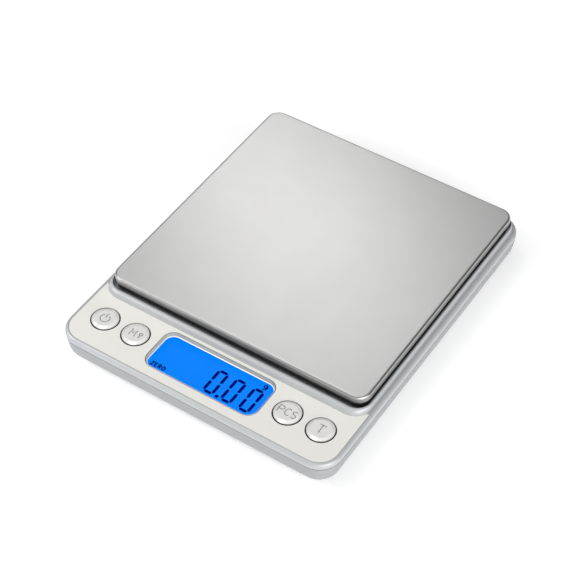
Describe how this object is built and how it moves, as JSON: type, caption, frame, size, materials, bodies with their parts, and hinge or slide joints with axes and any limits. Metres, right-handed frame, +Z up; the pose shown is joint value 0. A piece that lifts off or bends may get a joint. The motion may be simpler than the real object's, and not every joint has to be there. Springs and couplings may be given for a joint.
{
  "type": "digital gram scale",
  "caption": "Flat battery-powered gram scale with a square pressed steel pan on a hidden load cell, a recessed blue display and round keys in a front panel.",
  "frame": {"origin": "on the table plane under the feet, midway across and along the body", "axes": "+Z up, -Y towards the user (display and keys), +Y to the back of the pan, +X to the user's right"},
  "size_m": [0.106, 0.1286, 0.019],
  "materials": {
    "upper_shell": "fine satin moulded ABS, pale cool grey",
    "lower_shell": "fine spark-textured moulded ABS, light grey",
    "face": "smooth satin warm white overlay",
    "pan_steel": "pressed stainless sheet, bright satin polish",
    "carrier_black": "black moulded ABS",
    "foam_pad": "self-adhesive foam",
    "key_cap": "gloss moulded ABS, pearl white",
    "clear_window": "clear polycarbonate",
    "lcd_blue": "blue backlit segment display",
    "diffuser": "milky acrylic light guide",
    "board_green": "green solder mask",
    "chip_black": "black epoxy",
    "plunger_black": "black moulded nylon",
    "screw_steel": "zinc plated steel",
    "spring_steel": "nickel plated spring steel",
    "cell_aluminium": "milled and clear anodised",
    "sealant_white": "silicone sealant",
    "foot_rubber": "soft moulded rubber",
    "battery_jacket": "printed shrink sleeve, plain",
    "lead_red": "PVC insulation",
    "lead_black": "PVC insulation",
    "lead_white": "PVC insulation"
  },
  "bodies": {
    "root": {"top_housing": "upper_shell", "bottom_housing": "lower_shell", "face_plate": "face", "load_cell": "cell_aluminium", "gauge_coating": "sealant_white", "load_cell_screws": "screw_steel", "load_cell_leads": "lead_white", "overload_stop": "screw_steel", "lcd_window": "clear_window", "lcd_glass": "lcd_blue", "light_guide": "diffuser", "contact_strip": "chip_black", "lcd_frame": "chip_black", "main_board": "board_green", "board_chips": "chip_black", "board_screws": "screw_steel", "housing_screws": "screw_steel", "switch_housings": "chip_black", "front_left_foot": "foot_rubber", "front_right_foot": "foot_rubber", "back_left_foot": "foot_rubber", "back_right_foot": "foot_rubber", "front_battery": "battery_jacket", "back_battery": "battery_jacket", "front_spring": "spring_steel", "back_spring": "spring_steel", "positive_contact": "spring_steel", "negative_contact": "spring_steel", "bridge_contact": "spring_steel", "positive_lead": "lead_red", "negative_lead": "lead_black", "power_dome": "spring_steel", "mode_dome": "spring_steel", "count_dome": "spring_steel", "tare_dome": "spring_steel"},
    "platform": {"weighing_pan": "pan_steel", "pan_pads": "foam_pad", "pan_carrier": "carrier_black", "carrier_screws": "screw_steel"},
    "battery_door": {"battery_door": "lower_shell"},
    "power_key": {"power_key": "key_cap", "power_plunger": "plunger_black"},
    "mode_key": {"mode_key": "key_cap", "mode_plunger": "plunger_black"},
    "count_key": {"count_key": "key_cap", "count_plunger": "plunger_black"},
    "tare_key": {"tare_key": "key_cap", "tare_plunger": "plunger_black"}
  },
  "joints": [
    {"name": "platform_travel", "type": "slide", "parent": "root", "child": "platform", "axis": [0, 0, -1], "range_m": [0, 0.0003], "stiffness_N_per_m": 16700, "deforming": ["load_cell"]},
    {"name": "battery_door_hinge", "type": "hinge", "parent": "root", "child": "battery_door", "pos_m": [0, 0.03155, 0.00245], "axis": [-1, 0, 0], "range_deg": [0, 70]},
    {"name": "power_key_travel", "type": "slide", "parent": "root", "child": "power_key", "axis": [0, 0, -1], "range_m": [0, 0.0005], "stiffness_N_per_m": 2000, "deforming": ["power_dome"]},
    {"name": "mode_key_travel", "type": "slide", "parent": "root", "child": "mode_key", "axis": [0, 0, -1], "range_m": [0, 0.0005], "stiffness_N_per_m": 2000, "deforming": ["mode_dome"]},
    {"name": "count_key_travel", "type": "slide", "parent": "root", "child": "count_key", "axis": [0, 0, -1], "range_m": [0, 0.0005], "stiffness_N_per_m": 2000, "deforming": ["count_dome"]},
    {"name": "tare_key_travel", "type": "slide", "parent": "root", "child": "tare_key", "axis": [0, 0, -1], "range_m": [0, 0.0005], "stiffness_N_per_m": 2000, "deforming": ["tare_dome"]}
  ]
}
